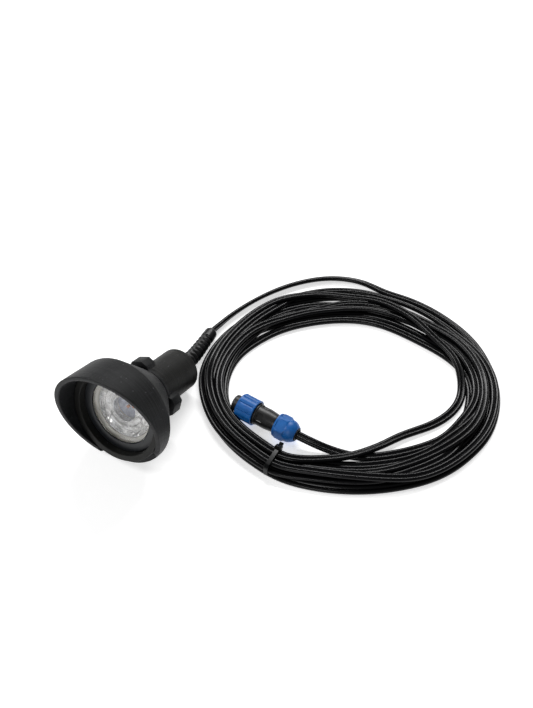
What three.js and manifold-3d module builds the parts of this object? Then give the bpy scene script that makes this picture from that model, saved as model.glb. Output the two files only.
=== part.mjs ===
// Low-voltage LED pool and pond lamp with a printed glare hood, five metres of
// coiled twin flex and a waterproof screw connector. Millimetres, +Z up.
// The lamp lies on its hood and tail, aimed along -Y and a little upwards, and its
// coiled flex lies beside it. The origin is under the middle of the lamp.

import * as THREE from "three";
import { mergeVertices } from "three/addons/utils/BufferGeometryUtils.js";
import Module from "manifold-3d";

const wasm = await Module();
wasm.setup();

// ---- Driving dimensions ----------------------------------------------------------

const GAP = 0.3; // air left between pieces that touch
const ROUND = 36; // sides of a large turned piece
const SMALL_ROUND = 20; // sides of a small turned piece

// Axial places in the lamp run from 0 at the hood's balance line, + towards the light.
const tube = { radius: 16.5, bore: 13, rear: -75.6, edge: 1.5 };
const cup = { radius: 35.8, bore: 31.2, front: 3, seat: -8, throat: 27.5 };
const hood = {
  radius: 39.8,
  wall: 3.4,
  shoulder: -5.2, // where the cylinder turns into the cone
  rear: -31.2,
  rearRadius: 20.7,
  rearBore: 17,
  lip: 2,
  cutMiddle: 12.2, // front edge on the axis
  cutSwing: 13.8, // how much longer the top is, and how much shorter the sides
  notchHalfWidth: 25,
  notchBottom: -2.5,
};
const roll = THREE.MathUtils.degToRad(24); // the lamp has rolled this far on the floor
const pane = { radius: 24.3, flange: 30.5, front: -2.9, flangeFront: -5.2, rear: -6.7 };
const retainer = { inner: 24.6, front: -2.5, rear: -4.9 };
const optic = { front: -7.4, rear: -13, frontRadius: 22, rearRadius: 8.5 };
const board = { radius: 10.5, front: -14.6, thickness: 1.6 };
const sink = { radius: 12.6, front: -16.5, rear: -47, fin: 2.4, web: 7.5 };
const driver = { front: -50, rear: -69, width: 21, thickness: 1.6 };
const lock = { rear: -34, lobeRear: -41, lobeTop: 25, lobeWidth: 16.5, chamfer: 3.8, count: 3 };
const relief = { length: 52, base: 6.2, tip: 4.6, neck: 6.8, ribs: 8, ribDepth: 1.3 };

const flex = { width: 7, thickness: 3.8 }; // flat twin flex
const coil = {
  centre: [111.5, 106],
  half: [116, 101],
  holeCentre: [115, 95],
  holeHalf: [92, 65],
  turn: THREE.MathUtils.degToRad(38),
  height: 13,
  bevel: 3,
};
const tie = {
  centre: [99.6, 9.9],
  heading: THREE.MathUtils.degToRad(271),
  halfWidth: 10.4,
  band: 3.2,
  thickness: 1.2,
  bottom: 0.1,
  top: 12.9,
};

// Places along the connector run from 0 at its mating face to its cable exit.
const plug = {
  tip: [50.8, 38.8],
  heading: THREE.MathUtils.degToRad(-3),
  height: 9.95, // of its axis: it lies on its coupling ring
  insertRadius: 6.2,
  ring: { front: 5.2, rear: 19.4, radius: 9.85, flutes: 10, fluteDepth: 0.7 },
  shell: { front: 4.4, rear: 40.5, radius: 7.7, neck: 6.6 },
  nut: { front: 37.4, rear: 53.8, radius: 9.3, hexRear: 46, mouth: 4.9 },
};

// The lamp rests on the hood's shoulder and on the tail of the tube.
const tilt = Math.atan2(
  hood.radius - tube.radius,
  hood.shoulder - (tube.rear + tube.edge),
);

// Route of the flex where it isn't coiled, laid out by hand: out of the strain
// relief and round to the coil, then from the coil into the connector.
const reliefRoute = [
  [0, 42.03, 15.1],
  [-0.1, 46.8, 13.5],
  [-0.4, 52, 11.9],
  [-1.5, 63, 9],
  [-3.6, 77, 6.4],
  [-5.6, 94, 5],
];
const leadRoute = [
  [-5.65, 94.35, 4.95],
  [-5.7, 101, 4.1],
  [-5, 109, 2.9],
  [-3.2, 117, 2.1],
  [2.6, 138, 2],
  [10.6, 157, 2],
  [20.6, 174, 2],
  [32.6, 188.5, 2],
  [46, 200, 2],
  [62, 207.6, 2],
  [78, 211.8, 2],
  [93, 213.4, 2],
];
const tailRoute = [
  [104.9, 35.9, 9.95],
  [114, 36.2, 9],
  [121, 37.6, 6.6],
  [129, 39.8, 4],
  [138, 42.2, 2.4],
  [149.5, 45.2, 2],
];

// ---- Finishes ---------------------------------------------------------------------

function finish(color, roughness, metalness = 0) {
  return new THREE.MeshStandardMaterial({ color, roughness, metalness });
}
const printedBlack = finish(0x2c2d30, 0.75);
const mouldedBlack = finish(0x242427, 0.55);
const ringGrey = finish(0x2a2e33, 0.5);
const clearGlass = finish(0xdfe3e6, 0.05);
const clearAcrylic = finish(0xe8eaec, 0.08);
const rubberBlack = finish(0x17171a, 0.8);
const flexBlack = finish(0x1b1b1f, 0.35);
const plugBlue = finish(0x1f5aa0, 0.4);
const boardWhite = finish(0xb9c0cc, 0.5);
const ledAmber = finish(0xd9a441, 0.4);
const driverGreen = finish(0x2f5d3a, 0.5);
const bareAluminium = finish(0xb5b8bc, 0.35, 1);
const brass = finish(0xc9a24a, 0.3, 1);
const copperCoil = finish(0x9a5a35, 0.4, 1);

// ---- Shape tools ------------------------------------------------------------------

/** A solid of revolution about +Y. Its profile runs from axis to axis, or else closes. */
function turned(profile, sides = ROUND) {
  const points = profile.map(([r, y]) => new THREE.Vector2(r, y));
  if (THREE.ShapeUtils.area(points) < 0) points.reverse();
  if (points[0].x > 0 || points.at(-1).x > 0) points.push(points[0].clone());
  return new THREE.LatheGeometry(points, sides);
}

/** A ring of rectangular section. */
function washer(inner, outer, low, high, sides = ROUND) {
  return turned([[inner, low], [outer, low], [outer, high], [inner, high]], sides);
}

/** A solid plug that reaches the axis. */
function disc(radius, low, high, sides = SMALL_ROUND) {
  return new THREE.CylinderGeometry(radius, radius, high - low, sides).translate(0, (low + high) / 2, 0);
}

function boxAt([x, y, z], [wide, long, high]) {
  return new THREE.BoxGeometry(wide, long, high).translate(x, y, z);
}

function solid(geometry) {
  const bare = geometry.clone();
  bare.deleteAttribute("normal");
  bare.deleteAttribute("uv");
  const merged = mergeVertices(bare, 1e-3);
  return new wasm.Manifold(
    new wasm.Mesh({
      numProp: 3,
      vertProperties: new Float32Array(merged.attributes.position.array),
      triVerts: new Uint32Array(merged.index.array),
    }),
  );
}

function geometryOf(manifold) {
  const mesh = manifold.getMesh();
  const geometry = new THREE.BufferGeometry();
  geometry.setAttribute("position", new THREE.BufferAttribute(mesh.vertProperties, 3));
  geometry.setIndex(new THREE.BufferAttribute(mesh.triVerts, 1));
  return geometry;
}

function cut(geometry, ...tools) {
  return geometryOf(tools.reduce((rest, tool) => rest.subtract(solid(tool)), solid(geometry)));
}

function join(...geometries) {
  return geometryOf(geometries.map(solid).reduce((sum, part) => sum.add(part)));
}

function routeCurve(route) {
  return new THREE.CatmullRomCurve3(route.map((p) => new THREE.Vector3(...p)));
}

/** A closed tube of flat oval section along a route, lying flat. */
function flexAlong(route, steps, width = flex.width, thickness = flex.thickness, sides = 10) {
  const oval = new THREE.Shape();
  oval.absellipse(0, 0, width / 2, thickness / 2, 0, 2 * Math.PI);
  const outline = new THREE.Shape(oval.getSpacedPoints(sides).slice(0, -1));
  return new THREE.ExtrudeGeometry(outline, { extrudePath: routeCurve(route), steps });
}

/** Bends a piece turned about +Y so that its axis follows a route. */
function bentAlong(geometry, route, length) {
  const curve = routeCurve(route);
  const up = new THREE.Vector3(0, 0, 1);
  const places = geometry.attributes.position;
  const v = new THREE.Vector3();
  for (let i = 0; i < places.count; i += 1) {
    v.fromBufferAttribute(places, i);
    const share = THREE.MathUtils.clamp(v.y / length, 0, 1);
    const forward = curve.getTangentAt(share);
    const side = new THREE.Vector3().crossVectors(forward, up).normalize();
    const over = new THREE.Vector3().crossVectors(side, forward);
    const at = curve.getPointAt(share).addScaledVector(side, v.x).addScaledVector(over, v.z);
    at.addScaledVector(forward, v.y - share * length);
    places.setXYZ(i, at.x, at.y, at.z);
  }
  return geometry;
}

/** Extrudes an outline drawn in X and Z along +Y, from one place to another. */
function prism(outline, low, high) {
  const geometry = new THREE.ExtrudeGeometry(outline, { depth: high - low, bevelEnabled: false });
  return geometry.rotateX(Math.PI / 2).translate(0, high, 0);
}

function outlineOf(points) {
  return new THREE.Shape(points.map(([x, z]) => new THREE.Vector2(x, z)));
}

function named(name, geometry, material) {
  const mesh = new THREE.Mesh(geometry, material);
  mesh.name = name;
  return mesh;
}

// ---- Lamp: hood, housing and locks ----------------------------------------------------

const coneSlope = (hood.radius - hood.rearRadius) / (hood.shoulder - hood.rear);

/** Radius, at an axial place, of a cone that lies a given distance inside the hood's. */
function coneRadius(place, depth = 0) {
  return hood.radius + coneSlope * (place - hood.shoulder) - depth * Math.hypot(1, coneSlope);
}

/** Axial place at which that inner cone has a given radius. */
function conePlace(radius, depth) {
  return hood.shoulder + (radius - coneRadius(hood.shoulder, depth)) / coneSlope;
}

/** Glare hood: a cylinder on a cone, cut off on the slant and open at the bottom. */
function visorHood() {
  const bore = hood.radius - hood.wall;
  const lip = hood.rear + hood.lip;
  const front = hood.cutMiddle + hood.cutSwing + 4;
  const shell = turned([
    [hood.radius, front],
    [hood.radius, hood.shoulder],
    [hood.rearRadius, hood.rear],
    [hood.rearBore, hood.rear],
    [hood.rearBore, lip],
    [coneRadius(lip, hood.wall), lip],
    [bore, conePlace(bore, hood.wall)],
    [bore, front],
  ], 56);
  const blade = boxAt([0, 40, 0], [130, 80, 160])
    .rotateX(-Math.atan2(hood.cutSwing, hood.radius))
    .translate(0, hood.cutMiddle, 0);
  const notch = boxAt([0, hood.notchBottom + 30, -44], [2 * hood.notchHalfWidth, 60, 32]);
  return named("visor_hood", cut(shell, blade, notch), printedBlack);
}

/** Housing: a cup for the light, a cone, and a tube for the driver, in one moulding. */
function lampHousing() {
  const depth = hood.wall + GAP + 0.1;
  const shoulder = hood.rear + hood.lip + GAP;
  const groove = { front: 0.6, rear: -1.4, floor: cup.radius - 0.9 };
  const throatEnd = cup.seat - (cup.throat - tube.bore) / coneSlope;
  const inner = tube.rear + 3;
  const corner = tube.edge * (1 - Math.SQRT1_2);
  const shell = turned([
    [cup.bore, cup.front],
    [cup.radius - 0.5, cup.front],
    [cup.radius, cup.front - 0.5],
    [cup.radius, groove.front],
    [groove.floor, groove.front],
    [groove.floor, groove.rear],
    [cup.radius, groove.rear],
    [cup.radius, conePlace(cup.radius, depth)],
    [coneRadius(shoulder, depth), shoulder],
    [tube.radius, shoulder],
    [tube.radius, tube.rear + tube.edge],
    [tube.radius - corner, tube.rear + corner],
    [tube.radius - tube.edge, tube.rear],
    [relief.neck, tube.rear],
    [relief.neck, inner],
    [tube.bore, inner],
    [tube.bore, throatEnd],
    [cup.throat, cup.seat],
    [cup.bore, cup.seat],
  ], 40);
  const pinPlace = (cup.bore + cup.radius) / 2;
  const pinHole = disc(1, cup.front - 3, cup.front + 1, 8).translate(-pinPlace, 0, 0);
  return named("lamp_housing", cut(shell, pinHole.rotateY(-0.05)), mouldedBlack);
}

/** Soft ring in the housing's groove, which lets the hood turn stiffly. */
function hoodFrictionRing() {
  const section = [];
  for (let i = 0; i < 6; i += 1) {
    const turn = (i * Math.PI) / 3;
    section.push([cup.radius - 0.1 + 0.45 * Math.cos(turn), -0.4 + 0.6 * Math.sin(turn)]);
  }
  return named("hood_friction_ring", turned(section), rubberBlack);
}

/** Winged lock ring that holds the hood on the tube. */
function lockRing() {
  const front = hood.rear - GAP;
  const half = lock.lobeWidth / 2;
  const foot = tube.radius + 1.2;
  const lobe = outlineOf([
    [-half, foot],
    [half, foot],
    [half, lock.lobeTop - lock.chamfer],
    [half - lock.chamfer, lock.lobeTop],
    [lock.chamfer - half, lock.lobeTop],
    [-half, lock.lobeTop - lock.chamfer],
  ]);
  const pieces = [washer(tube.radius + GAP, hood.rearRadius - 0.3, lock.rear, front)];
  for (let i = 0; i < lock.count; i += 1) {
    pieces.push(prism(lobe, lock.lobeRear, front).rotateY((i * 2 * Math.PI) / lock.count));
  }
  return named("lock_ring", join(...pieces), mouldedBlack);
}

// ---- Lamp: light and electrics ----------------------------------------------------------

function frontGlazing() {
  const lens = turned([
    [0, pane.rear],
    [pane.flange, pane.rear],
    [pane.flange, pane.flangeFront],
    [pane.radius, pane.flangeFront],
    [pane.radius, pane.front - 0.5],
    [pane.radius - 0.5, pane.front],
    [0, pane.front],
  ]);
  const retainingRing = turned([
    [retainer.inner, retainer.rear],
    [cup.bore - GAP, retainer.rear],
    [cup.bore - GAP, retainer.front],
    [retainer.inner + 0.4, retainer.front],
    [retainer.inner, retainer.front - 0.4],
  ]);
  const gasket = washer(27.8, cup.bore - GAP, cup.seat + GAP, pane.rear - GAP);
  return [
    named("retaining_ring", retainingRing, ringGrey),
    named("front_lens", lens, clearGlass),
    named("lens_gasket", gasket, rubberBlack),
  ];
}

function lightSource() {
  const collimator = turned([
    [0, optic.rear + 2],
    [4, optic.rear + 2],
    [4, optic.rear],
    [optic.rearRadius, optic.rear],
    [optic.frontRadius, optic.front - 1.2],
    [optic.frontRadius, optic.front],
    [0, optic.front],
  ], 32);
  const holder = turned([
    [optic.frontRadius + 0.8, optic.front + 0.2],
    [26.4, optic.front + 0.2],
    [26.4, cup.seat - 0.6],
    [17.2, board.front + GAP],
    [optic.rearRadius + 0.8, board.front + GAP],
    [optic.rearRadius + 0.8, optic.rear],
    [optic.frontRadius + 0.8, optic.front - 1.6],
  ], 32);
  const boardBack = board.front - board.thickness;
  const pieces = [
    named("collimator", collimator, clearAcrylic),
    named("optic_holder", holder, boardWhite),
    named("led_board", disc(board.radius, boardBack, board.front, 32), boardWhite),
  ];
  for (let i = 0; i < 3; i += 1) {
    const chip = boxAt([0, board.front + GAP + 0.4, 2.4], [2.8, 0.8, 2.8]);
    pieces.push(named(`led_chip_${i + 1}`, chip.rotateY((i * 2 * Math.PI) / 3), ledAmber));
  }
  return pieces;
}

function heatSink() {
  const profile = [[0, sink.front]];
  for (let y = sink.front; y > sink.rear + sink.fin; y -= 2 * sink.fin) {
    profile.push([sink.radius, y], [sink.radius, y - sink.fin]);
    profile.push([sink.web, y - sink.fin], [sink.web, y - 2 * sink.fin]);
  }
  profile.push([0, profile.at(-1)[1]]);
  return named("heat_sink", turned(profile, SMALL_ROUND), bareAluminium);
}

function driverElectronics() {
  const middle = (driver.front + driver.rear) / 2;
  const top = driver.thickness / 2 + GAP;
  const length = driver.front - driver.rear;
  const card = boxAt([0, middle, 0], [driver.width, length, driver.thickness]);
  const capacitor = disc(3.6, 0, 8, 16).rotateX(Math.PI / 2).translate(3.5, middle + 4, top);
  const inductor = disc(4, 0, 6, 16).rotateX(Math.PI / 2).translate(-4, middle - 4, top);
  const pieces = [
    named("driver_board", card, driverGreen),
    named("driver_capacitor", capacitor, rubberBlack),
    named("driver_inductor", inductor, copperCoil),
  ];
  [-1, 1].forEach((side, i) => {
    const route = [
      [side * 3, driver.rear - GAP, 1.6],
      [side * 1.6, driver.rear - 1.4, 0.8],
      [side * 1.3, tube.rear + 3.6, 0],
    ];
    pieces.push(named(`supply_wire_${i + 1}`, flexAlong(route, 4, 1.5, 1.5, 6), rubberBlack));
  });
  return pieces;
}

function buildLamp() {
  const rolled = new THREE.Group();
  rolled.rotation.y = Math.PI + roll;
  rolled.add(visorHood(), lampHousing(), hoodFrictionRing(), lockRing());
  rolled.add(...frontGlazing(), ...lightSource(), heatSink(), ...driverElectronics());
  const lamp = new THREE.Group();
  lamp.add(rolled);
  lamp.rotation.x = Math.PI - tilt;
  lamp.updateMatrixWorld(true);
  const box = new THREE.Box3().setFromObject(lamp, true);
  const middle = box.getCenter(new THREE.Vector3());
  lamp.position.set(-middle.x, -middle.y, -box.min.z);
  return lamp;
}

// ---- Flex -------------------------------------------------------------------------------

/** Ribbed rubber boot that is moulded on the flex and passes through the tail wall. */
function strainRelief() {
  const profile = [[0, -3.2], [relief.neck - GAP, -3.2], [relief.neck - GAP, GAP], [relief.base, GAP]];
  const ribbed = { from: 7, to: relief.length - 9 };
  const pitch = (ribbed.to - ribbed.from) / relief.ribs;
  for (let i = 0; i < relief.ribs; i += 1) {
    const place = ribbed.from + i * pitch;
    const radius = THREE.MathUtils.lerp(relief.base, relief.tip, place / relief.length);
    profile.push([radius, place], [radius - relief.ribDepth, place + 0.2 * pitch]);
    profile.push([radius - relief.ribDepth, place + 0.45 * pitch], [radius, place + 0.6 * pitch]);
  }
  profile.push([relief.tip, ribbed.to], [relief.tip, relief.length - 1], [relief.tip - 1, relief.length]);
  profile.push([0, relief.length]);
  return named("strain_relief", bentAlong(turned(profile, 12), reliefRoute, relief.length), rubberBlack);
}

function ellipse(centre, half) {
  const path = new THREE.Shape();
  path.absellipse(...centre, ...half, 0, 2 * Math.PI, false, coil.turn);
  return path.getPoints(30).slice(0, -1);
}

/** Outer shape of the coiled flex, pinched where the cable tie holds it. */
function flexCoil() {
  const outline = new THREE.Shape(ellipse(coil.centre, coil.half));
  outline.holes.push(new THREE.Path(ellipse(coil.holeCentre, coil.holeHalf)));
  const ring = new THREE.ExtrudeGeometry(outline, {
    depth: coil.height - 2 * coil.bevel,
    bevelThickness: coil.bevel,
    bevelSize: coil.bevel,
    bevelOffset: -coil.bevel,
    bevelSegments: 1,
  }).translate(0, 0, coil.bevel);
  const inside = tie.halfWidth - tie.thickness - GAP;
  const low = tie.bottom + tie.thickness + GAP;
  const high = tie.top - tie.thickness - GAP;
  const core = boxAt([0, 0, (low + high) / 2], [2 * inside, 20, high - low]);
  const slab = boxAt([0, 0, coil.height / 2], [36, tie.band + 2.6, 40]);
  return named("cable_coil", cut(ring, onTie(cut(slab, core))), flexBlack);
}

/** Places a piece drawn at the tie, where +X points out of the coil. */
function onTie(geometry) {
  return geometry.rotateZ(tie.heading).translate(...tie.centre, 0);
}

function rectangle(half, low, high) {
  return [[-half, low], [half, low], [half, high], [-half, high]];
}

function cableTie() {
  const band = outlineOf(rectangle(tie.halfWidth, tie.bottom, tie.top));
  const inside = rectangle(
    tie.halfWidth - tie.thickness,
    tie.bottom + tie.thickness,
    tie.top - tie.thickness,
  );
  band.holes.push(new THREE.Path(inside.map(([x, z]) => new THREE.Vector2(x, z)).reverse()));
  const strap = prism(band, -tie.band / 2, tie.band / 2);
  const head = boxAt([0.6 - tie.halfWidth - 1.6, 0, 10.2], [3.6, 5, 4.6]);
  const tail = boxAt([-tie.halfWidth - 1.6, 0, 13], [1.2, tie.band, 3]);
  return named("cable_tie", onTie(join(strap, head, tail)), mouldedBlack);
}

function buildFlex() {
  return [
    strainRelief(),
    named("cable_lead", flexAlong(leadRoute, 40), flexBlack),
    flexCoil(),
    named("cable_tail", flexAlong(tailRoute, 14), flexBlack),
    cableTie(),
  ];
}

// ---- Connector ----------------------------------------------------------------------------

/** Contact block with two brass sockets. */
function contactBlock() {
  const { insertRadius: radius, shell } = plug;
  const block = turned([
    [0, 0],
    [radius - 0.8, 0],
    [radius, 0.8],
    [radius, shell.front + 10],
    [0, shell.front + 10],
  ], SMALL_ROUND);
  const sockets = [-1, 1].map((side) => disc(1.4, -1, 11, 12).translate(side * 2.1, 0, 0));
  const pieces = [named("connector_insert", cut(block, ...sockets), mouldedBlack)];
  [-1, 1].forEach((side, i) => {
    const sleeve = washer(0.6, 1.4 - GAP, 0.4, 10.6, 10).translate(side * 2.1, 0, 0);
    pieces.push(named(`contact_sleeve_${i + 1}`, sleeve, brass));
  });
  return pieces;
}

/** Blue coupling ring with rounded flutes round its rim. */
function couplingRing() {
  const { front, rear, radius, flutes, fluteDepth } = plug.ring;
  const rim = [];
  const steps = flutes * 6;
  for (let i = 0; i < steps; i += 1) {
    const turn = (i * 2 * Math.PI) / steps;
    const wave = Math.abs(Math.cos((turn * flutes) / 2)) ** 0.5;
    const r = radius - fluteDepth * (1 - wave);
    rim.push([r * Math.cos(turn), r * Math.sin(turn)]);
  }
  const grip = prism(outlineOf(rim), front, rear);
  const bore = disc(plug.shell.radius + 0.6, front + 1.2, rear + 1, ROUND);
  const mouth = disc(plug.insertRadius + 1.2, front - 1, front + 2, ROUND);
  return named("coupling_ring", cut(grip, bore, mouth), plugBlue);
}

function connectorShell() {
  const { shell, ring, nut, insertRadius } = plug;
  const start = ring.front + 3;
  const flange = ring.rear + GAP;
  const body = turned([
    [insertRadius + GAP, start],
    [shell.radius, start],
    [shell.radius, flange],
    [shell.radius + 0.6, flange],
    [shell.radius + 0.6, flange + 1.4],
    [shell.radius, flange + 1.4],
    [shell.radius, flange + 8],
    [shell.neck + 0.4, nut.front - 3],
    [shell.neck, nut.front - 1.5],
    [shell.neck, shell.rear],
    [insertRadius - 0.6, shell.rear],
    [insertRadius - 0.6, shell.front + 10 + GAP],
    [insertRadius + GAP, shell.front + 10 + GAP],
  ], 24);
  const flats = [];
  for (let i = 0; i < 4; i += 1) {
    const flat = boxAt([0, flange + 5, shell.radius + 0.9], [6, 5.2, 3.6]);
    flats.push(flat.rotateY(Math.PI / 4 + (i * Math.PI) / 2));
  }
  const sealOuter = shell.radius;
  const sealRing = washer(insertRadius + GAP, sealOuter, start - 1.5, start - GAP, SMALL_ROUND);
  return [
    named("connector_shell", cut(body, ...flats), mouldedBlack),
    named("connector_seal_ring", sealRing, rubberBlack),
  ];
}

function glandParts() {
  const { nut, shell } = plug;
  const dome = turned([
    [0, nut.front + 1.5],
    [nut.radius * 0.9, nut.front + 1.5],
    [nut.radius * 0.9, nut.hexRear + 0.5],
    [nut.radius * 0.85, nut.hexRear + 3],
    [nut.radius * 0.74, nut.hexRear + 5.6],
    [nut.radius * 0.62, nut.rear - 0.6],
    [nut.mouth + 0.9, nut.rear],
    [0, nut.rear],
  ], 24);
  const collar = disc(nut.radius * 0.97, nut.front, nut.front + 1.6, 24);
  const hexagon = disc(nut.radius, nut.front + 1.5, nut.hexRear, 6);
  const bore = turned([
    [0, nut.front - 1],
    [shell.neck + 0.35, nut.front - 1],
    [shell.neck + 0.35, 44.5],
    [6.1, 44.5],
    [6.1, 49.2],
    [nut.mouth, 51],
    [nut.mouth, nut.rear + 1],
    [0, nut.rear + 1],
  ], SMALL_ROUND);
  const seal = turned([
    [flex.width / 2 + 0.2, 42],
    [5.7, 42],
    [5.7, 48.8],
    [nut.mouth - GAP, 50.6],
    [nut.mouth - GAP, nut.rear + 0.5],
    [flex.width / 2 + 0.2, nut.rear + 0.5],
  ], SMALL_ROUND);
  return [
    named("gland_nut", cut(join(hexagon, dome, collar), bore), plugBlue),
    named("gland_seal", seal, rubberBlack),
  ];
}

function buildConnector() {
  const connector = new THREE.Group();
  connector.add(...contactBlock(), couplingRing(), ...connectorShell(), ...glandParts());
  connector.rotation.z = plug.heading - Math.PI / 2;
  connector.position.set(...plug.tip, plug.height);
  return connector;
}

// ---- Whole light ---------------------------------------------------------------------------

const poolLight = new THREE.Group();
poolLight.add(buildLamp(), ...buildFlex(), buildConnector());

export default poolLight;
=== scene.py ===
"""Low-voltage LED pool light with a turning glare hood and five metres of coiled flex.

Sizes are written in millimetres and turned to metres where a mesh is made. The
sections follow the lamp as it is put together, and everything stands where the
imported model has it.
"""

import math

import bmesh
import bpy
import numpy as np
from mathutils import Matrix, Vector


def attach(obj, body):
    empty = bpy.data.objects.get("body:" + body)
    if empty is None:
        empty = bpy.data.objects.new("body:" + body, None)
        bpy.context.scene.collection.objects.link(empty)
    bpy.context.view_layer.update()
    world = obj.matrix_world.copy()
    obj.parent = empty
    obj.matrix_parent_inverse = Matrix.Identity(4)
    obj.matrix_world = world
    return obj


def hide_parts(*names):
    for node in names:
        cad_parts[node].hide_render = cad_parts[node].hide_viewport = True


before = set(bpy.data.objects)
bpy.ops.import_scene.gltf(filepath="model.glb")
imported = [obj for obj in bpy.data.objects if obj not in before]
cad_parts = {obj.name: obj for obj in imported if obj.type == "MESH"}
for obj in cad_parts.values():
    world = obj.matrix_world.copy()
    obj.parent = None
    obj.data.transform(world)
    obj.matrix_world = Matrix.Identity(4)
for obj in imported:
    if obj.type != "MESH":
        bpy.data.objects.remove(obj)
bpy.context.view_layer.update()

# ---- Camera ---------------------------------------------------------------------
# A product camera with a short telephoto lens, standing in front of the lamp and to
# its right, and looking down at the middle of the light and its coil.

MM = 0.001
camera_data = bpy.data.cameras.new("product_camera")
camera_data.sensor_fit = "HORIZONTAL"
camera_data.sensor_width = 36.0
camera_data.lens = 54.02
camera = bpy.data.objects.new("product_camera", camera_data)
camera_place = Vector((255.4, -263.1, 477.5)) * MM
camera_target = Vector((42.4, 98.8, 0.0)) * MM
camera.location = camera_place
camera.rotation_euler = (camera_target - camera_place).to_track_quat("-Z", "Y").to_euler()
bpy.context.collection.objects.link(camera)
bpy.context.scene.camera = camera

# ---- Flat twin flex ---------------------------------------------------------------
# Five metres of flat two-core flex in one extruded PVC sheath with a groove between
# the cores. It leaves the lamp's strain relief, goes eight times clockwise round a
# loose coil and comes back into the connector inside the coil.

FLEX_WIDTH = 7.0
FLEX_THICKNESS = 3.6
COIL_CENTRE = np.array([113.0, 100.0])
COIL_START = 100.0  # heading, in degrees from +X, at which the lead joins the coil
STEPS_PER_TURN = 120
TURN_STEP = 360.0 / STEPS_PER_TURN
COIL_STEPS = 8 * STEPS_PER_TURN + 52
# The two plain ellipses that the coil lies between: middle, half lengths and turn.
HOLE_MIDDLE = (115.0, 95.0)
HOLE_HALF = (92.0, 65.0)
RIM_MIDDLE = (111.5, 106.0)
RIM_HALF = (116.0, 101.0)
ELLIPSE_TURN = math.radians(38.0)
TIE_HEADING = -97.3
TIE_REACH = 91.2  # from the coil's centre to the middle of the bundle inside the tie
TAIL_REACH = 65.8  # from the coil's centre to where the last turn leaves for the connector
FLOOR_STRAND = 2.0  # height of the middle of a strand that lies on the floor

# Where each turn lies between the inner edge (0) and the outer edge (1) of the coil,
# in pairs: degrees clockwise from the start of the turn, and its share of the way out.
TURN_LAYS = [
    [(0, 1.04), (20, 1.0), (40, 0.97), (80, 0.92), (120, 0.96), (156, 1.0), (240, 0.96),
     (280, 0.8), (320, 0.45)],
    [(0, 0.3), (40, 0.5), (80, 0.74), (120, 0.8), (156, 0.85), (240, 0.6), (280, 0.45), (320, 0.2)],
    [(0, 0.1), (40, 0.14), (80, 0.35), (120, 0.55), (156, 0.3), (240, 0.1), (280, 0.02), (320, 0.0)],
    [(0, 0.0), (40, 0.03), (80, 0.1), (120, 0.7), (156, 1.0), (240, 1.0), (280, 1.0), (320, 0.75)],
    [(0, 0.62), (40, 0.6), (80, 0.5), (120, 0.12), (156, 0.0), (240, 0.2), (280, 0.25), (320, 0.35)],
    [(0, 0.45), (40, 0.33), (80, 0.6), (120, 0.4), (156, 0.55), (240, 0.5), (280, 0.6), (320, 0.92)],
    [(0, 0.98), (40, 0.9), (80, 0.98), (120, 1.0), (156, 0.75), (240, 0.78), (280, 0.95), (320, 0.85)],
    [(0, 0.5), (30, 0.32), (58, 0.04), (72, -0.22), (88, -0.6), (104, -0.9), (121, -0.98),
     (142, -0.78), (158, -0.45), (176, 0.0), (240, 0.3), (280, 0.35), (320, 0.25)],
    [(0, 0.2), (40, 0.45), (80, 0.2), (120, 0.02), (140, -0.05)],
]
# How far the lay departs from two plain ellipses, by heading: inner edge, outer edge.
EDGE_TRIMS = [
    (0, -0.5, 2.0), (30, 1.0, -0.5), (65, -4.0, -4.5), (100, 8.0, 0.0), (130, 6.0, 6.0),
    (160, 7.5, 0.5), (190, 6.5, -3.0), (215, 0.5, -4.5), (240, -5.5, -3.5), (270, -4.5, -4.0),
    (300, -1.5, -4.0), (340, -2.5, 2.5),
]
# The bundle inside the cable tie: how far out of the bundle's middle, and how high.
TIE_SLOTS = [(7, 1.9), (0, 1.9), (-7, 1.9), (7, 5.5), (-7, 5.5), (0, 5.5), (3.8, 9.1), (-3.8, 9.1)]
# Height of each turn before it settles.
START_HEIGHTS = [1.9, 1.9, 2.4, 5.0, 5.4, 5.8, 9.0, 10.5, 6.0]

RELIEF_END = (-5.6, 94.0, 5.0)
LEAD_ROUTE = [
    RELIEF_END, (-5.7, 101, 4.1), (-5, 109, 2.9), (-3.2, 117, 2.1), (2.6, 138, 2), (10.6, 157, 2),
    (20.6, 174, 2), (32.6, 188.5, 2), (46, 200, 2), (62, 207.3, 2), (78, 210.8, 2),
]
TAIL_ROUTE = [(138, 42.2, 2.4), (129, 39.8, 4), (121, 37.6, 6.6), (114, 36.2, 9), (102.6, 36, 9.95)]


def edge_reach(heading, centre, half):
    """Distance from the coil's centre to one of its two edge ellipses."""
    c, s = math.cos(ELLIPSE_TURN), math.sin(ELLIPSE_TURN)
    into = np.array([[c, s], [-s, c]])
    start = into @ (COIL_CENTRE - np.array(centre)) / np.array(half)
    way = into @ np.array([np.cos(heading), np.sin(heading)]) / np.array(half)[:, None]
    a = (way**2).sum(0)
    b = 2.0 * (way * start[:, None]).sum(0)
    beyond = (start**2).sum() - 1.0
    return (-b + np.sqrt(b * b - 4.0 * a * beyond)) / (2.0 * a)


def eased(values, times):
    """Smooths a run of values along the flex, and leaves its two ends."""
    values = values.copy()
    for _ in range(times):
        values[1:-1] = 0.25 * values[:-2] + 0.5 * values[1:-1] + 0.25 * values[2:]
    return values


def flex_twist(along):
    """How far the flat flex is rolled about its own line, along its coiled length."""
    return np.radians(16.0 * np.sin(along / 91.0 + 0.4) + 11.0 * np.sin(along / 37.0))


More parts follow.
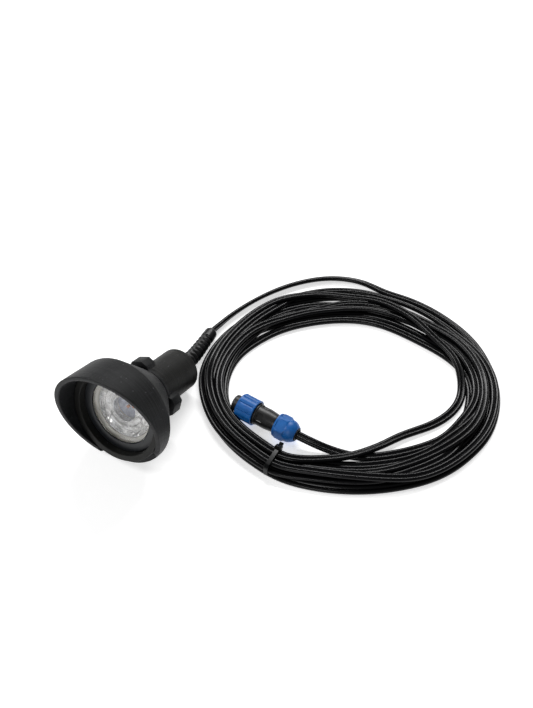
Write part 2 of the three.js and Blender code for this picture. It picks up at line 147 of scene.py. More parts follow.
def settled_coil():
    """Lays the turns, then lets them sink and push each other aside round by round."""
    index = np.arange(COIL_STEPS + 1)
    heading = np.radians(COIL_START - TURN_STEP * index)
    trim_at, trim_inner, trim_outer = np.array(EDGE_TRIMS).T
    around = np.degrees(heading)
    inner = edge_reach(heading, HOLE_MIDDLE, HOLE_HALF) + 4.0
    inner += np.interp(around, trim_at, trim_inner, period=360.0)
    outer = edge_reach(heading, RIM_MIDDLE, RIM_HALF) - 3.6
    outer += np.interp(around, trim_at, trim_outer, period=360.0)
    knots = [(360 * k + at, share) for k, lay in enumerate(TURN_LAYS) for at, share in lay]
    knot_at, knot_share = np.array(knots).T
    share = eased(np.interp(TURN_STEP * index, knot_at, knot_share), 90)
    wanted = inner + share * (outer - inner)
    height = eased(np.repeat(START_HEIGHTS, STEPS_PER_TURN)[: COIL_STEPS + 1], 150)
    twist = flex_twist(index * 4.9)
    end_share = np.clip((index - (COIL_STEPS - 14)) / 14.0, 0.0, 1.0)
    end_share = end_share * end_share * (3.0 - 2.0 * end_share)
    wanted = wanted * (1.0 - end_share) + TAIL_REACH * end_share
    height = height * (1.0 - end_share) + FLOOR_STRAND * end_share
    reach = wanted.copy()
    slots = (COIL_START - TIE_HEADING) / TURN_STEP + STEPS_PER_TURN * np.arange(8)
    held = np.zeros(COIL_STEPS + 1)
    slot_reach = reach.copy()
    slot_height = height.copy()
    for slot, (out, up) in zip(slots, TIE_SLOTS):
        near = np.abs(index - slot)
        hold = np.clip(1.0 - near / 3.0, 0.0, 1.0)
        held = np.maximum(held, hold)
        slot_reach = np.where(hold > 0, TIE_REACH + out, slot_reach)
        slot_height = np.where(hold > 0, up, slot_height)
    flat = np.clip(1.0 - held, 0.0, 1.0)
    twist = twist * eased(flat, 30)
    pairs = [(a, b) for a in range(9) for b in range(a + 1, 9)]
    rounds = 420
    for step in range(rounds):
        reach += 0.04 * (wanted - reach)
        height -= 0.05
        push_reach = np.zeros_like(reach)
        push_height = np.zeros_like(height)
        for a, b in pairs:
            size = min(STEPS_PER_TURN, COIL_STEPS + 1 - b * STEPS_PER_TURN)
            one = slice(a * STEPS_PER_TURN, a * STEPS_PER_TURN + size)
            two = slice(b * STEPS_PER_TURN, b * STEPS_PER_TURN + size)
            dr = reach[two] - reach[one]
            dz = height[two] - height[one] + 1e-4 * (b - a)
            gap = np.hypot(dr, dz) + 1e-6
            angle = np.arctan2(dz, dr)
            need = 0.0
            for part in (one, two):
                roll = angle - twist[part]
                need = need + np.hypot(
                    0.5 * FLEX_WIDTH * np.cos(roll), 0.5 * FLEX_THICKNESS * np.sin(roll)
                )
            push = 0.3 * np.clip(need * 0.97 - gap, 0.0, None) / gap
            push_reach[one] -= push * dr
            push_reach[two] += push * dr
            push_height[one] -= push * dz
            push_height[two] += push * dz
        reach += push_reach
        height += push_height
        hold = 0.5 * held
        reach += hold * (slot_reach - reach)
        height += hold * (slot_height - height)
        if step < rounds - 25:
            reach = eased(reach, 1)
            height = eased(height, 1)
        floor = np.hypot(0.5 * FLEX_WIDTH * np.sin(twist), 0.5 * FLEX_THICKNESS * np.cos(twist))
        height = np.maximum(height, floor + 0.05)
        reach[0], height[0] = wanted[0], FLOOR_STRAND
        reach[-1], height[-1] = TAIL_REACH, FLOOR_STRAND
    reach = eased(reach, 2)
    height = eased(height, 2)
    places = np.column_stack(
        [
            COIL_CENTRE[0] + reach * np.cos(heading),
            COIL_CENTRE[1] + reach * np.sin(heading),
            height,
        ]
    )
    return places, twist


def evenly(places, spacing, *alongside):
    """Resamples a run of places at an even spacing, with values that go along with it."""
    at = np.concatenate([[0.0], np.cumsum(np.linalg.norm(np.diff(places, axis=0), axis=1))])
    count = int(round(at[-1] / spacing)) + 1
    new = np.linspace(0.0, at[-1], count)
    runs = [np.column_stack([np.interp(new, at, places[:, i]) for i in range(3)])]
    return runs + [np.interp(new, at, value) for value in alongside]


def swept(name, places, outline_at, twist):
    """A closed tube whose section, from outline_at(ring), follows a run of places."""
    forward = np.gradient(places, axis=0)
    forward /= np.linalg.norm(forward, axis=1)[:, None]
    side = np.cross(forward, [0.0, 0.0, 1.0])
    side /= np.linalg.norm(side, axis=1)[:, None]
    over = np.cross(side, forward)
    vertices = []
    for i, place in enumerate(places):
        c, s = math.cos(twist[i]), math.sin(twist[i])
        wide = c * side[i] + s * over[i]
        thick = c * over[i] - s * side[i]
        outline = outline_at(i)
        vertices.append(place + outline[:, :1] * wide + outline[:, 1:] * thick)
    count = len(vertices[0])
    rings = len(vertices)
    faces = [tuple(range(count)), tuple(reversed(range((rings - 1) * count, rings * count)))]
    for i in range(rings - 1):
        for j in range(count):
            k = (j + 1) % count
            faces.append((i * count + k, i * count + j, (i + 1) * count + j, (i + 1) * count + k))
    mesh = bpy.data.meshes.new(name)
    mesh.from_pydata((np.concatenate(vertices) * MM).tolist(), [], faces)
    return finished(name, mesh)


def finished(name, mesh, corner=40.0):
    """Makes an object of a mesh: normals out, shaded smooth but for its sharp edges."""
    solid = bmesh.new()
    solid.from_mesh(mesh)
    bmesh.ops.remove_doubles(solid, verts=solid.verts, dist=1e-7)
    bmesh.ops.recalc_face_normals(solid, faces=solid.faces)
    solid.to_mesh(mesh)
    solid.free()
    mesh.shade_smooth()
    mesh.set_sharp_from_angle(angle=math.radians(corner))
    thing = bpy.data.objects.new(name, mesh)
    bpy.context.collection.objects.link(thing)
    return thing


def twin_outline():
    """Half circles at both sides, and a groove along the middle of both faces."""
    points = []
    core = FLEX_THICKNESS / 2
    offset = FLEX_WIDTH / 2 - core
    for side in (1, -1):
        for degrees in range(-125, 126, 25):
            turn = math.radians(degrees)
            points.append((side * (offset + core * math.cos(turn)), side * core * math.sin(turn)))
        points.append((0.0, side * core * 0.5))
    return np.array(points)


def linear(code):
    """An sRGB hex colour as linear red, green, blue and alpha."""
    channels = [int(code[i : i + 2], 16) / 255 for i in (1, 3, 5)]
    return [c / 12.92 if c <= 0.04045 else ((c + 0.055) / 1.055) ** 2.4 for c in channels] + [1.0]


def add(tree, kind, settings=None, **links):
    """Adds a shader node, sets its values, and links sockets into it."""
    made = tree.nodes.new(kind)
    for key, value in (settings or {}).items():
        if hasattr(made, key):
            setattr(made, key, value)
        else:
            made.inputs[key].default_value = value
    for key, source in links.items():
        tree.links.new(source, made.inputs[key.replace("_", " ")])
    return made


def surface(name, shader):
    """A material with a main shader of given values. Returns it, its tree and shader."""
    material = bpy.data.materials.new(name)
    material.use_nodes = True
    tree = material.node_tree
    main = tree.nodes["Principled BSDF"]
    for key, value in shader.items():
        main.inputs[key].default_value = value
    return material, tree, main


def fineness(size):
    """The scale of a pattern whose patches or grains are so many millimetres across."""
    return 1.0 / (size * MM)


def sheath_pvc():
    """Extruded flexible PVC: black, satin to glossy, with slow changes of gloss.

    Its grain is really about 0.1 mm, and is drawn coarser so that it shows.
    """
    material, tree, main = surface(
        "flex_pvc", {"Base Color": linear("#060608"), "IOR": 1.52, "Specular IOR Level": 0.2}
    )
    place = add(tree, "ShaderNodeTexCoord")
    scuffs = add(
        tree, "ShaderNodeTexNoise", {"Scale": fineness(6.25), "Detail": 4.0}, Vector=place.outputs["Object"]
    )
    gloss = add(tree, "ShaderNodeMapRange", {"To Min": 0.2, "To Max": 0.3}, Value=scuffs.outputs["Fac"])
    grain = add(
        tree, "ShaderNodeTexNoise", {"Scale": fineness(1.43), "Detail": 1.0}, Vector=place.outputs["Object"]
    )
    relief = add(
        tree, "ShaderNodeBump", {"Strength": 0.04, "Distance": 0.1 * MM}, Height=grain.outputs["Fac"]
    )
    tree.links.new(gloss.outputs["Result"], main.inputs["Roughness"])
    tree.links.new(relief.outputs["Normal"], main.inputs["Normal"])
    return material


coil_places, coil_twist = settled_coil()
# The flex leaves the boot nearly on edge, and rolls flat along the lead.
lead_twist = np.radians(np.interp(np.arange(len(LEAD_ROUTE)), [0, 2, 5, 10], [78, 70, 45, 25]))
flex_places = np.concatenate([np.array(LEAD_ROUTE, float), coil_places, np.array(TAIL_ROUTE, float)])
flex_rolls = np.concatenate([lead_twist, coil_twist, np.zeros(len(TAIL_ROUTE))])
flex_places, flex_rolls = evenly(flex_places, 1.0, flex_rolls)
flex_places = np.column_stack([eased(flex_places[:, i], 190) for i in range(3)])
flex_rolls = eased(flex_rolls, 200)
flex_places, flex_rolls = evenly(flex_places, 3.0, flex_rolls)
flex_core = 0.5 * FLEX_THICKNESS
flex_support = flex_core + (0.5 * FLEX_WIDTH - flex_core) * np.abs(np.sin(flex_rolls)) + 0.05
flex_places[:, 2] = np.maximum(flex_places[:, 2], flex_support)
flex_section = twin_outline()
flex = swept("flat_twin_flex", flex_places, lambda ring: flex_section, flex_rolls)
flex.data.materials.append(sheath_pvc())
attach(flex, "lamp")
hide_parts("cable_lead", "cable_coil", "cable_tail")

# ---- Lamp: hood -------------------------------------------------------------------
# A glare hood of matt black filament, printed with its axis upright, so fine layer
# lines run round it. It is cut off on the slant, open at the bottom, and turns.

HOOD_RADIUS = 39.8
HOOD_WALL = 3.4
SHOULDER = -5.2
CONE_REAR = -31.2
CONE_REAR_RADIUS = 20.7
LIP_LONGEST = 26.0
LIP_MIDDLE = 12.2
LIP_SWING = 13.8
NOTCH_HALF = 25.0
NOTCH_BOTTOM = -2.5
TAIL_RADIUS = 16.5
TAIL_EDGE = -74.1
LAMP_TILT = math.atan2(HOOD_RADIUS - TAIL_RADIUS, SHOULDER - TAIL_EDGE)
LAMP_ROLL = math.radians(24.0)
LAMP_MIDDLE = Vector((0.0, -29.742, 39.351)) * MM
CONE_SLOPE = (HOOD_RADIUS - CONE_REAR_RADIUS) / (SHOULDER - CONE_REAR)

# A lamp piece is drawn round its own +Y axis, which points where the lamp shines.
lamp_frame = (
    Matrix.Translation(LAMP_MIDDLE)
    @ Matrix.Rotation(math.pi - LAMP_TILT, 4, "X")
    @ Matrix.Rotation(math.pi + LAMP_ROLL, 4, "Y")
)


def cone_radius(place, depth=0.0):
    """Radius of a cone that lies a given depth inside the hood's own cone."""
    return HOOD_RADIUS + CONE_SLOPE * (place - SHOULDER) - depth * math.hypot(1.0, CONE_SLOPE)


def cone_place(radius, depth):
    return SHOULDER + (radius - cone_radius(SHOULDER, depth)) / CONE_SLOPE


def softened(profile, radius, closed=True):
    """Rounds each corner of a profile with a small curve."""
    points = [np.array(p, float) for p in profile]
    out = []
    for i, p in enumerate(points):
        if not closed and i in (0, len(points) - 1):
            out.append(p)
            continue
        before, after = points[i - 1] - p, points[(i + 1) % len(points)] - p
        reach = min(radius, 0.45 * np.linalg.norm(before), 0.45 * np.linalg.norm(after))
        start = p + before / np.linalg.norm(before) * reach
        end = p + after / np.linalg.norm(after) * reach
        for t in (0.0, 0.33, 0.67, 1.0):
            out.append((1 - t) ** 2 * start + 2 * t * (1 - t) * p + t * t * end)
    return out


def turned(name, profile, sides, place, shape=None, closed=True):
    """A piece turned round +Y from (radius, place) points, and moved by shape if given."""
    count = len(profile)
    vertices = []
    for i in range(sides):
        turn = 2.0 * math.pi * i / sides
        for r, y in profile:
            if shape:
                r, y = shape(turn, r, y)
            vertices.append((r * math.sin(turn) * MM, y * MM, r * math.cos(turn) * MM))
    faces = []
    for i in range(sides):
        ahead = (i + 1) % sides
        for j in range(count if closed else count - 1):
            k = (j + 1) % count
            faces.append((i * count + j, ahead * count + j, ahead * count + k, i * count + k))
    mesh = bpy.data.meshes.new(name)
    mesh.from_pydata(vertices, [], faces)
    mesh.transform(place)
    return finished(name, mesh)


def ramp(value):
    value = min(max(value, 0.0), 1.0)
    return value * value * (3.0 - 2.0 * value)


def hood_shape(turn, r, y):
    """Moves the hood's front edge onto its slanted cut, and into the gap at the bottom."""
    if y <= SHOULDER:
        return r, y
    front = LIP_MIDDLE + LIP_SWING * (r / HOOD_RADIUS) * math.cos(turn)
    side = r * math.sin(turn)
    if math.cos(turn) < 0.0:
        corner = 5.0 if side < 0.0 else 1.4
        open_here = ramp((NOTCH_HALF + 0.6 - abs(side)) / corner)
        front += open_here * (NOTCH_BOTTOM - front)
    return r, SHOULDER + (y - SHOULDER) / (LIP_LONGEST - SHOULDER) * (front - SHOULDER)


def printed_filament(name, colour, lit_colour):
    """Matt printed plastic, with fine lines round it and a few pale flecks.

    Its real layers are 0.2 mm, and are drawn 0.8 mm so that they show.
    """
    material, tree, main = surface(
        name, {"Roughness": 0.55, "IOR": 1.5, "Specular IOR Level": 0.24}
    )
    place = add(tree, "ShaderNodeTexCoord")

    def drawn_out(size, detail):
        """Noise in the lamp's own frame, with patches of a size in millimetres."""
        turn = lamp_frame.to_euler()
        lamp_wise = {"vector_type": "TEXTURE", "Location": LAMP_MIDDLE, "Rotation": turn}
        lamp_wise["Scale"] = Vector(size) * MM
        spot = add(tree, "ShaderNodeMapping", lamp_wise, Vector=place.outputs["Object"])
        patches = {"Scale": 1.0, "Detail": detail}
        return add(tree, "ShaderNodeTexNoise", patches, Vector=spot.outputs["Vector"])

    layers = drawn_out((45, 0.8, 45), 3.0)
    hatch = drawn_out((1.1, 12, 1.1), 1.0)
    cloud = add(
        tree, "ShaderNodeTexNoise", {"Scale": fineness(16.7), "Detail": 5.0}, Vector=place.outputs["Object"]
    )
    lines = add(tree, "ShaderNodeMath", {"operation": "MULTIPLY_ADD"})
    tree.links.new(hatch.outputs["Fac"], lines.inputs[0])
    lines.inputs[1].default_value = 0.35
    tree.links.new(layers.outputs["Fac"], lines.inputs[2])
    tone = add(tree, "ShaderNodeMath", {"operation": "ADD"})
    tree.links.new(lines.outputs["Value"], tone.inputs[0])
    tree.links.new(cloud.outputs["Fac"], tone.inputs[1])
    spread = add(
        tree, "ShaderNodeMapRange", {"From Min": 0.85, "From Max": 1.5}, Value=tone.outputs["Value"]
    )
    colours = add(tree, "ShaderNodeValToRGB", Fac=spread.outputs["Result"])
    colours.color_ramp.elements[0].color = linear(colour)
    colours.color_ramp.elements[1].color = linear(lit_colour)
    specks = add(
        tree, "ShaderNodeTexNoise", {"Scale": fineness(1.61), "Detail": 1.0}, Vector=place.outputs["Object"]
    )
    flecks = add(
        tree, "ShaderNodeMapRange", {"From Min": 0.74, "From Max": 0.78}, Value=specks.outputs["Fac"]
    )
    mixed = add(tree, "ShaderNodeMix", {"data_type": "RGBA"})
    tree.links.new(flecks.outputs["Result"], mixed.inputs["Factor"])
    tree.links.new(colours.outputs["Color"], mixed.inputs[6])
    mixed.inputs[7].default_value = linear("#55565a")
    relief = add(
        tree, "ShaderNodeBump", {"Strength": 0.6, "Distance": 0.4 * MM}, Height=lines.outputs["Value"]
    )
    tree.links.new(mixed.outputs[2], main.inputs["Base Color"])
    tree.links.new(relief.outputs["Normal"], main.inputs["Normal"])
    return material


def on_lamp(thing, material, slot, *nodes, body="lamp"):
    """Gives a piece its material, and makes it stand for its CAD node."""
    thing.data.materials.append(material)
    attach(thing, body)
    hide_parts(*nodes)
    return thing


hood_bore = HOOD_RADIUS - HOOD_WALL
hood_rear_inside = CONE_REAR + 2.0
lip_rows = [SHOULDER + t * (LIP_LONGEST - SHOULDER) for t in (0.02, 0.2, 0.4, 0.6, 0.8, 0.93)]
hood_profile = (
    [(17.0, hood_rear_inside), (17.0, CONE_REAR), (CONE_REAR_RADIUS - 0.4, CONE_REAR)]
    + [(CONE_REAR_RADIUS, CONE_REAR + 0.4), (HOOD_RADIUS - 0.15, SHOULDER - 0.2)]
    + [(HOOD_RADIUS, y) for y in lip_rows]
    + [(HOOD_RADIUS, LIP_LONGEST - 0.7), (HOOD_RADIUS - 0.2, LIP_LONGEST - 0.2)]
    + [(HOOD_RADIUS - 0.7, LIP_LONGEST), (hood_bore + 0.7, LIP_LONGEST)]
    + [(hood_bore + 0.2, LIP_LONGEST - 0.2), (hood_bore, LIP_LONGEST - 0.7)]
    + [(hood_bore, y) for y in reversed(lip_rows)]
    + [(hood_bore, cone_place(hood_bore, HOOD_WALL))]
    + [(cone_radius(hood_rear_inside, HOOD_WALL), hood_rear_inside)]
)
filament_black = printed_filament("printed_filament_black", "#0b0c0d", "#1d1e20")
hood = turned("glare_hood", hood_profile, 360, lamp_frame, hood_shape)
on_lamp(hood, filament_black, "printed_black", "visor_hood", body="visor_hood")

# ---- Lamp: housing ------------------------------------------------------------------
# One black moulding: a cup for the light, a cone under the hood and a straight tube
# for the driver. Its surface is a little browner than the hood and has the same lines.

CUP_RADIUS = 35.8
CUP_BORE = 31.2
CUP_FRONT = 3.0
CUP_SEAT = -8.0
TUBE_BORE = 13.0
TUBE_REAR = -75.6
BOOT_NECK = 6.8
cone_gap = HOOD_WALL + 0.4
tube_start = CONE_REAR + 2.3
housing_profile = softened(
    [
        (CUP_BORE, CUP_FRONT),
        (CUP_RADIUS, CUP_FRONT),
        (CUP_RADIUS, 0.6),
        (CUP_RADIUS - 0.9, 0.6),
        (CUP_RADIUS - 0.9, -1.4),
        (CUP_RADIUS, -1.4),
        (CUP_RADIUS, cone_place(CUP_RADIUS, cone_gap)),
        (cone_radius(tube_start, cone_gap), tube_start),
        (TAIL_RADIUS, tube_start),
        (TAIL_RADIUS, -60.0),
        (TAIL_RADIUS, TUBE_REAR + 1.6),
        (TAIL_RADIUS - 0.5, TUBE_REAR + 0.5),
        (TAIL_RADIUS - 1.6, TUBE_REAR),
        (BOOT_NECK, TUBE_REAR),
        (BOOT_NECK, TUBE_REAR + 3.0),
        (TUBE_BORE, TUBE_REAR + 3.0),
        (TUBE_BORE, CUP_SEAT - (27.5 - TUBE_BORE) / CONE_SLOPE),
        (27.5, CUP_SEAT),
        (CUP_BORE, CUP_SEAT),
    ],
    0.5,
)
PIN_TURN = math.radians(-90.0 - 2.9)


def rim_pin_hole(turn, r, y):
    """Sinks the small locating hole into the front rim."""
    x, z = r * math.sin(turn), r * math.cos(turn)
    middle = 0.5 * (CUP_BORE + CUP_RADIUS)
    away = math.hypot(x - middle * math.sin(PIN_TURN), z - middle * math.cos(PIN_TURN))
    return (r, y - 1.6 * ramp((1.3 - away) / 0.5)) if y > 2.0 else (r, y)


rim_rows = [(CUP_BORE + 0.5 + 0.4 * i, CUP_FRONT) for i in range(1, 10)]
housing_profile[4:4] = rim_rows
filament_brown = printed_filament("printed_filament_tube", "#0c0c0b", "#20201e")
housing = turned("lamp_body", housing_profile, 360, lamp_frame, rim_pin_hole)
on_lamp(housing, filament_brown, "moulded_black", "lamp_housing")


def nitrile():
    """Nitrile rubber, moulded: dull black with a faint bloom in patches of about 4 mm."""
    material, tree, main = surface("nitrile_rubber", {"Roughness": 0.6, "IOR": 1.5})
    place = add(tree, "ShaderNodeTexCoord")
    bloom = add(
        tree, "ShaderNodeTexNoise", {"Scale": fineness(4.17), "Detail": 4.0}, Vector=place.outputs["Object"]
    )
    colours = add(tree, "ShaderNodeValToRGB", Fac=bloom.outputs["Fac"])
    colours.color_ramp.elements[0].color = linear("#0a0a0b")
    colours.color_ramp.elements[1].color = linear("#1b1b1e")
    relief = add(
        tree, "ShaderNodeBump", {"Strength": 0.1, "Distance": 0.2 * MM}, Height=bloom.outputs["Fac"]
    )
    tree.links.new(colours.outputs["Color"], main.inputs["Base Color"])
    tree.links.new(relief.outputs["Normal"], main.inputs["Normal"])
    return material


rubber_black = nitrile()
ring_section = [
    (CUP_RADIUS - 0.1 + 0.45 * math.cos(t), -0.4 + 0.6 * math.sin(t))
    for t in np.linspace(0.0, 2.0 * math.pi, 10, endpoint=False)
]
friction_ring = turned("hood_friction_ring_rubber", ring_section, 180, lamp_frame)
on_lamp(friction_ring, rubber_black, "rubber_black", "hood_friction_ring")

# ---- Lamp: lens and its ring ----------------------------------------------------------
# A clear glass pane with a stepped rim sits on a gasket, held by a flat satin ring of
# dark grey nylon that screws into the cup.

LENS_RADIUS = 24.3
ring_profile = softened(
    [(24.6, -4.9), (CUP_BORE - 0.3, -4.9), (CUP_BORE - 0.3, -2.5), (24.6, -2.5)], 0.4
)


def satin_nylon():
    """Moulded nylon: even, satin, slightly blue grey, with a spark texture drawn 1.1 mm coarse."""
    material, tree, main = surface(
        "satin_nylon_grey", {"Base Color": linear("#16191d"), "Roughness": 0.42, "IOR": 1.53}
    )
    place = add(tree, "ShaderNodeTexCoord")
    spark = add(
        tree, "ShaderNodeTexNoise", {"Scale": fineness(1.11), "Detail": 2.0}, Vector=place.outputs["Object"]
    )
    relief = add(
        tree, "ShaderNodeBump", {"Strength": 0.15, "Distance": 0.2 * MM}, Height=spark.outputs["Fac"]
    )
    tree.links.new(relief.outputs["Normal"], main.inputs["Normal"])
    return material


lens_ring = turned("lens_ring", ring_profile, 180, lamp_frame)
on_lamp(lens_ring, satin_nylon(), "ring_grey", "retaining_ring", body="retaining_ring")

pane_profile = softened(
    [(30.5, -6.7), (30.5, -5.2), (LENS_RADIUS, -5.2), (LENS_RADIUS, -2.9)], 0.3, closed=False
)
pane_profile = [(0.0, -6.7), (20.0, -6.7)] + pane_profile[:-1]
pane_profile += [(LENS_RADIUS, -3.5), (LENS_RADIUS - 0.2, -3.1), (LENS_RADIUS - 0.6, -2.9), (0.0, -2.9)]
glass, *_ = surface(
    "clear_glass",
    {"Base Color": linear("#ffffff"), "Roughness": 0.02, "IOR": 1.45, "Transmission Weight": 1.0},
)
pane = turned("front_pane", pane_profile, 180, lamp_frame, closed=False)
on_lamp(pane, glass, "clear_glass", "front_lens")

# ---- Lamp: optic, board and light chips -------------------------------------------------
# A moulded acrylic optic of rings and steps sits in a pale cup behind the pane. In its
# middle is a well with the round LED board and its amber chips at the bottom.

BOARD_FRONT = -14.6
OPTIC_REAR = -13.0
WELL_RADIUS = 8.9
OPTIC_RADIUS = 20.4


def acrylic_with_painted_caustics(name, colour, shade, swirl_size, depth):
    """Clear acrylic over a bright cup: wet looking, with painted caustic light: pale flow swirls painted
    into its colour, and the same swirls as relief.
    """
    material, tree, main = surface(
        name, {"Roughness": 0.1, "IOR": 1.49, "Metallic": 0.35, "Coat Weight": 1.0, "Coat Roughness": 0.04}
    )
    place = add(tree, "ShaderNodeTexCoord")
    painted_caustic_and_relief_swirl = add(
        tree,
        "ShaderNodeTexNoise",
        {"Scale": fineness(swirl_size), "Detail": 1.5, "Distortion": 1.6},
        Vector=place.outputs["Object"],
    )
    # Painted caustic light: the swirl noise paints the colour from the shade to the pale colour.
    colours = add(tree, "ShaderNodeValToRGB", Fac=painted_caustic_and_relief_swirl.outputs["Fac"])
    colours.color_ramp.elements[0].position = 0.3
    colours.color_ramp.elements[0].color = linear(shade)
    colours.color_ramp.elements[1].position = 0.72
    colours.color_ramp.elements[1].color = linear(colour)
    relief = add(
        tree, "ShaderNodeBump", {"Strength": 0.9, "Distance": depth * MM}, Height=painted_caustic_and_relief_swirl.outputs["Fac"]
    )
    tree.links.new(colours.outputs["Color"], main.inputs["Base Color"])
    tree.links.new(relief.outputs["Normal"], main.inputs["Normal"])
    return material


optic_rings = []
for ring in range(121):
    share = ring / 120.0
    r = OPTIC_RADIUS - share * (OPTIC_RADIUS - WELL_RADIUS - 0.4)
    wave = 0.75 * math.cos(share * 2.0 * math.pi * 2.0) + 0.16 * math.cos(share * 2.0 * math.pi * 5.0 + 0.6)
    optic_rings.append((r, -9.3 - 0.8 * math.sin(share * math.pi) + 0.9 * wave))
optic_profile = (
    [(OPTIC_RADIUS + 0.4, -10.9), (OPTIC_RADIUS + 0.4, -8.9), (OPTIC_RADIUS + 0.2, -8.5)]
    + optic_rings
    + [(WELL_RADIUS + 0.1, -8.6), (WELL_RADIUS, -9.0), (WELL_RADIUS, OPTIC_REAR)]
    + [(WELL_RADIUS + 1.0, OPTIC_REAR), (13.0, -12.6)]
)
optic = turned("ring_optic", optic_profile, 180, lamp_frame)
# The optic's swirls of caustic light are painted into its colour.
on_lamp(optic, acrylic_with_painted_caustics("acrylic_with_painted_caustics", "#ffffff", "#bdbbb8", 7.0, 4.0), "clear_acrylic", "collimator")


def solder_mask():
    """White solder mask over copper tracks: cool and pale, with faint tracks showing."""
    material, tree, main = surface(
        "solder_mask_white", {"Roughness": 0.3, "IOR": 1.5, "Coat Weight": 0.6, "Coat Roughness": 0.08}
    )
    place = add(tree, "ShaderNodeTexCoord")
    tracks = add(tree, "ShaderNodeTexVoronoi", {"Scale": fineness(3.03)}, Vector=place.outputs["Object"])
    colours = add(tree, "ShaderNodeValToRGB", Fac=tracks.outputs["Distance"])
    colours.color_ramp.elements[0].color = linear("#dde2f2")
    colours.color_ramp.elements[1].color = linear("#a4acc4")
    tree.links.new(colours.outputs["Color"], main.inputs["Base Color"])
    return material


board_profile = [
    (0.0, BOARD_FRONT - 1.6), (10.3, BOARD_FRONT - 1.6), (10.5, BOARD_FRONT - 1.4),
    (10.5, BOARD_FRONT - 0.2), (10.3, BOARD_FRONT), (0.0, BOARD_FRONT),
]
board = turned("led_board_round", board_profile, 96, lamp_frame, closed=False)
on_lamp(board, solder_mask(), "board_white", "led_board")


def polycarbonate_cup():
    """Opal polycarbonate, moulded: warm grey white, satin, with soft cloudy flow."""
    material, tree, main = surface(
        "opal_polycarbonate", {"Roughness": 0.32, "IOR": 1.58, "Coat Weight": 0.4, "Coat Roughness": 0.1}
    )
    place = add(tree, "ShaderNodeTexCoord")
    flow = add(
        tree, "ShaderNodeTexNoise", {"Scale": fineness(11.1), "Detail": 3.0}, Vector=place.outputs["Object"]
    )
    colours = add(tree, "ShaderNodeValToRGB", Fac=flow.outputs["Fac"])
    colours.color_ramp.elements[0].color = linear("#dedacd")
    colours.color_ramp.elements[1].color = linear("#f6f3ea")
    tree.links.new(colours.outputs["Color"], main.inputs["Base Color"])
    return material


holder_profile = softened(
    [(26.4, -7.3), (26.4, -8.7), (17.2, -14.2), (9.4, -14.2), (9.4, -13.4), (15.0, -13.2), (21.2, -9.9)]
    + [(21.2, -8.1), (24.6, -7.3)],
    0.25,
)
holder = turned("optic_cup", holder_profile, 120, lamp_frame)
on_lamp(holder, polycarbonate_cup(), "board_white", "optic_holder")


def phosphor():
    """Silicone with phosphor powder over the dies: soft amber, slightly grainy."""
    material, tree, main = surface("phosphor_amber", {"Roughness": 0.35, "IOR": 1.41})
    place = add(tree, "ShaderNodeTexCoord")
    grains = {"Scale": fineness(0.625), "Detail": 2.0}
    powder = add(tree, "ShaderNodeTexNoise", grains, Vector=place.outputs["Object"])
    colours = add(tree, "ShaderNodeValToRGB", Fac=powder.outputs["Fac"])
    colours.color_ramp.elements[0].color = linear("#a8552c")
    colours.color_ramp.elements[1].color = linear("#d59058")
    tree.links.new(colours.outputs["Color"], main.inputs["Base Color"])
    return material


def box_mesh(name, size, place, edge):
    """A block with rounded edges, centred on its own origin and put in its place."""
    solid = bmesh.new()
    bmesh.ops.create_cube(solid, size=1.0)
    bmesh.ops.scale(solid, vec=Vector(size) * MM, verts=solid.verts)
    bmesh.ops.bevel(
        solid, geom=solid.edges[:], offset=edge * MM, segments=3, profile=0.5, affect="EDGES"
    )
    mesh = bpy.data.meshes.new(name)
    solid.to_mesh(mesh)
    solid.free()
    mesh.transform(place)
    return finished(name, mesh)


phosphor_amber = phosphor()
for chip in range(3):
    turn = Matrix.Rotation(chip * 2.0 * math.pi / 3.0, 4, "Y")
    spot = lamp_frame @ turn @ Matrix.Translation(Vector((0.0, BOARD_FRONT + 0.6, 2.4)) * MM)
    die = box_mesh(f"light_chip_{chip + 1}", (2.0, 1.0, 2.0), spot, 0.2)
    on_lamp(die, phosphor_amber, "led_amber", f"led_chip_{chip + 1}")

# ---- Lamp: lock ring ----------------------------------------------------------------
# A printed ring behind the hood with three chamfered wings to turn it by. It grips the
# tube and holds the hood on.

LOCK_FRONT = CONE_REAR - 0.3
LOCK_REAR = -34.0
WING_REAR = -41.0
WING_TOP = 25.0
WING_HALF = 8.25
WING_CHAMFER = 3.8
web_profile = softened(
    [(TAIL_RADIUS + 0.3, LOCK_REAR), (CONE_REAR_RADIUS - 0.3, LOCK_REAR)]
    + [(CONE_REAR_RADIUS - 0.3, LOCK_FRONT), (TAIL_RADIUS + 0.3, LOCK_FRONT)],
    0.4,
)
lock_web = turned("lock_ring_web", web_profile, 120, lamp_frame)
on_lamp(lock_web, filament_black, "moulded_black", "lock_ring", body="lock_ring")


def wing_mesh(name, place):
    """One wing: a block with two broad chamfers along it and softly broken edges."""
    foot = TAIL_RADIUS + 1.2
    outline = [
        (-WING_HALF, foot), (WING_HALF, foot), (WING_HALF, WING_TOP - WING_CHAMFER),
        (WING_HALF - WING_CHAMFER, WING_TOP), (WING_CHAMFER - WING_HALF, WING_TOP),
        (-WING_HALF, WING_TOP - WING_CHAMFER),
    ]
    solid = bmesh.new()
    rows = [
        [solid.verts.new((x * MM, y * MM, z * MM)) for x, z in outline] for y in (WING_REAR, LOCK_FRONT)
    ]
    solid.faces.new(rows[0])
    solid.faces.new(reversed(rows[1]))
    for i in range(6):
        k = (i + 1) % 6
        solid.faces.new((rows[0][i], rows[1][i], rows[1][k], rows[0][k]))
    bmesh.ops.bevel(
        solid, geom=solid.edges[:], offset=0.45 * MM, segments=2, profile=0.5, affect="EDGES"
    )
    mesh = bpy.data.meshes.new(name)
    solid.to_mesh(mesh)
    solid.free()
    mesh.transform(place)
    return finished(name, mesh, corner=30.0)


